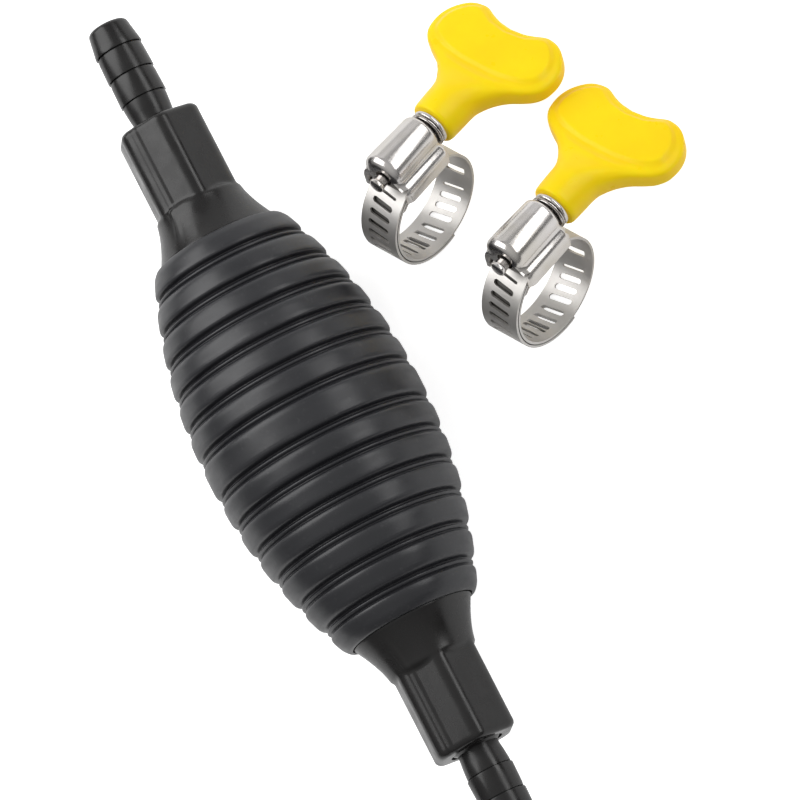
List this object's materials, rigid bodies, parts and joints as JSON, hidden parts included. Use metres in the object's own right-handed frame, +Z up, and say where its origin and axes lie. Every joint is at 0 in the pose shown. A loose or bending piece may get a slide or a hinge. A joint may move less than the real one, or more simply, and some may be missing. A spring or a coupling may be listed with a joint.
{
  "type": "siphon primer pump with hose clamps",
  "caption": "Ribbed rubber squeeze-bulb siphon pump with check valves and a hose barb at each end, with loose worm-drive hose clamps that have butterfly thumb keys.",
  "frame": {"origin": "bottom centre of the whole set's box, on the surface it lies on", "axes": "+Y along the pump's axis from the inlet to the outlet, +Z up, the loose clamps on the +X side"},
  "size_m": [0.1072, 0.174, 0.0438],
  "materials": {
    "bulb_rubber": "dark grey moulded soft rubber, satin",
    "seal_rubber": "black seal rubber, matte",
    "fitting": "black moulded hard plastic, glossy",
    "valve_plastic": "natural white moulded plastic",
    "spring_steel": "bright spring wire",
    "clamp_steel": "polished stainless steel",
    "band_steel": "rolled stainless strip, satin",
    "key_plastic": "bright yellow moulded plastic, soft gloss"
  },
  "bodies": {
    "pump": {"bulb": "bulb_rubber", "inlet_end_cap": "fitting", "inlet_hose_barb": "fitting", "inlet_seal_ring": "seal_rubber", "inlet_valve_seat": "fitting", "inlet_valve_spring": "spring_steel", "inlet_valve_cage": "fitting"},
    "outlet_end": {"outlet_end_cap": "fitting", "outlet_hose_barb": "fitting", "outlet_seal_ring": "seal_rubber", "outlet_valve_seat": "fitting", "outlet_valve_spring": "spring_steel", "outlet_valve_cage": "fitting"},
    "inlet_poppet": {"inlet_valve_poppet": "valve_plastic"},
    "outlet_poppet": {"outlet_valve_poppet": "valve_plastic"},
    "clamp_a": {"clamp_a_housing": "clamp_steel", "clamp_a_saddle": "clamp_steel", "clamp_a_band_loop": "band_steel"},
    "clamp_a_screw": {"clamp_a_worm_screw": "clamp_steel", "clamp_a_washer": "clamp_steel", "clamp_a_thumb_key": "key_plastic"},
    "clamp_a_tail": {"clamp_a_band_tail": "band_steel"},
    "clamp_b": {"clamp_b_housing": "clamp_steel", "clamp_b_saddle": "clamp_steel", "clamp_b_band_loop": "band_steel"},
    "clamp_b_screw": {"clamp_b_worm_screw": "clamp_steel", "clamp_b_washer": "clamp_steel", "clamp_b_thumb_key": "key_plastic"},
    "clamp_b_tail": {"clamp_b_band_tail": "band_steel"}
  },
  "joints": [
    {"name": "bulb_squeeze", "type": "slide", "parent": "pump", "child": "outlet_end", "axis": [0, -1, 0], "range_m": [0, 0.012], "stiffness_N_per_m": 1500, "deforming": ["bulb"]},
    {"name": "inlet_valve_lift", "type": "slide", "parent": "pump", "child": "inlet_poppet", "axis": [0, 1, 0], "range_m": [0, 0.002], "stiffness_N_per_m": 60, "deforming": ["inlet_valve_spring"]},
    {"name": "outlet_valve_lift", "type": "slide", "parent": "outlet_end", "child": "outlet_poppet", "axis": [0, 1, 0], "range_m": [0, 0.002], "stiffness_N_per_m": 60, "deforming": ["outlet_valve_spring"]},
    {"name": "clamp_a_lift", "type": "slide", "parent": "pump", "child": "clamp_a", "axis": [0, 0, 1], "range_m": [0, 0.06]},
    {"name": "clamp_a_screw_turn", "type": "hinge", "parent": "clamp_a", "child": "clamp_a_screw", "pos_m": [0.00941, 0.03577, 0.02255], "axis": [-0.7194, -0.3955, 0.571], "range_deg": [0, 5040]},
    {"name": "clamp_a_band_feed", "type": "hinge", "parent": "clamp_a", "child": "clamp_a_tail", "pos_m": [0.00393, 0.02974, 0.01147], "axis": [-0.5691, 0.807, -0.1581], "range_deg": [0, 163]},
    {"name": "clamp_b_lift", "type": "slide", "parent": "pump", "child": "clamp_b", "axis": [0, 0, 1], "range_m": [0, 0.06]},
    {"name": "clamp_b_screw_turn", "type": "hinge", "parent": "clamp_b", "child": "clamp_b_screw", "pos_m": [0.0228, 0.01058, 0.02255], "axis": [-0.7194, -0.3955, 0.571], "range_deg": [0, 5040]},
    {"name": "clamp_b_band_feed", "type": "hinge", "parent": "clamp_b", "child": "clamp_b_tail", "pos_m": [0.01732, 0.00455, 0.01147], "axis": [-0.5691, 0.807, -0.1581], "range_deg": [0, 163]}
  ],
  "couplings": [
    {"joint": "clamp_a_band_feed", "follows": "clamp_a_screw_turn", "ratio": 0.032258},
    {"joint": "clamp_b_band_feed", "follows": "clamp_b_screw_turn", "ratio": 0.032258}
  ]
}
